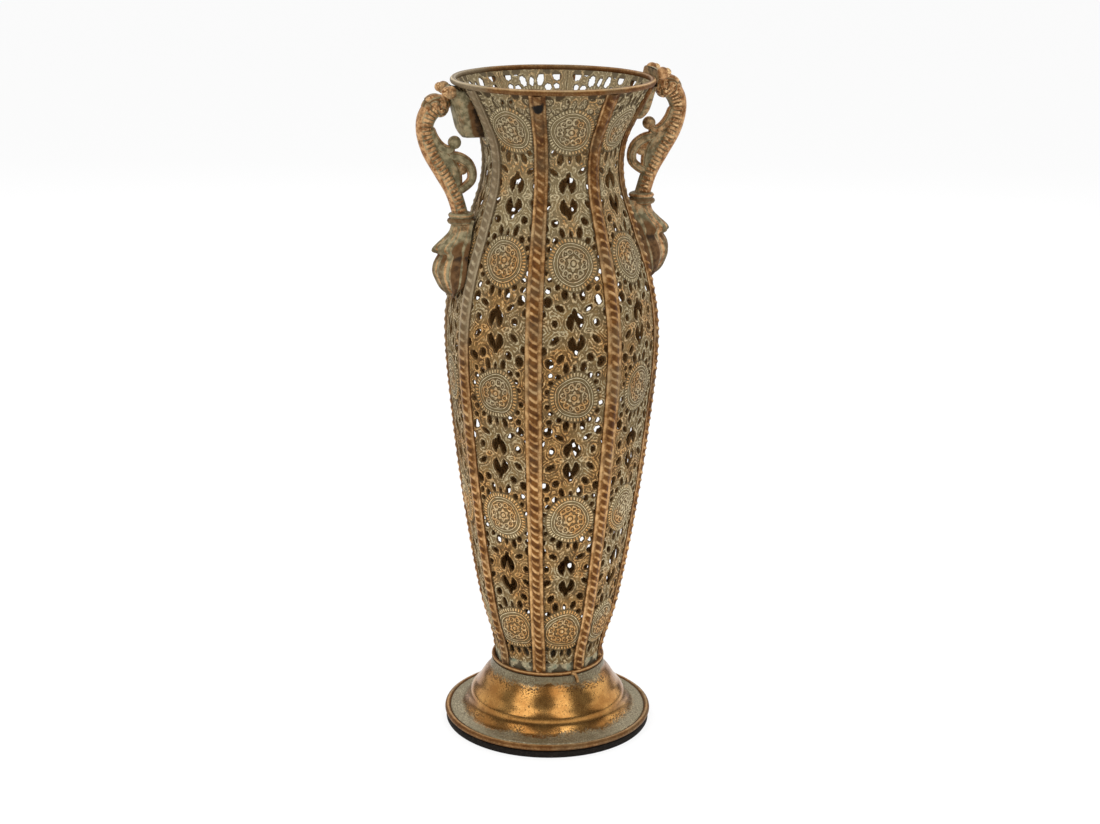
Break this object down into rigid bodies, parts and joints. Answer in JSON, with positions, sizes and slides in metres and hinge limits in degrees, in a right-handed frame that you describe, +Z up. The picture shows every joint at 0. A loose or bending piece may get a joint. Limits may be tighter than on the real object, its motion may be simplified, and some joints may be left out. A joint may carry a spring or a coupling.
{
  "type": "openwork metal vase",
  "caption": "Tall waisted vase of pierced sheet-metal panels with rope straps over the seams, a wire-rimmed mouth, a spun bell foot and a cast scroll handle on each side.",
  "frame": {"origin": "on the floor, under the axis of the vase, at the underside of the base pad", "axes": "+Z up along the axis of the vase; +X and -X point through the right and the left handle"},
  "size_m": [0.1736, 0.1388, 0.4392],
  "materials": {
    "washed_sheet": "stamped sheet, antique copper under a grey-green wash, ridges rubbed bright",
    "rubbed_copper": "antique copper, rubbed on the high places",
    "spun_bronze": "spun sheet, glossy speckled bronze",
    "cast_bronze": "casting, copper ridges and grey-green recesses",
    "dark_pad": "matt black-brown"
  },
  "bodies": {
    "root": {"panel_1": "washed_sheet", "panel_2": "washed_sheet", "panel_3": "washed_sheet", "panel_4": "washed_sheet", "panel_5": "washed_sheet", "panel_6": "washed_sheet", "panel_7": "washed_sheet", "panel_8": "washed_sheet", "strap_1": "rubbed_copper", "strap_2": "rubbed_copper", "strap_3": "rubbed_copper", "strap_4": "rubbed_copper", "strap_5": "rubbed_copper", "strap_6": "rubbed_copper", "strap_7": "rubbed_copper", "strap_8": "rubbed_copper", "rim_hoop": "rubbed_copper", "collar_hoop": "rubbed_copper", "base_hoop": "rubbed_copper", "foot_bell": "spun_bronze", "body_floor": "spun_bronze", "base_pad": "dark_pad", "handle_left": "cast_bronze", "handle_right": "cast_bronze", "handle_left_upper_rivet": "rubbed_copper", "handle_left_lower_rivet": "rubbed_copper", "handle_right_upper_rivet": "rubbed_copper", "handle_right_lower_rivet": "rubbed_copper"}
  },
  "joints": []
}
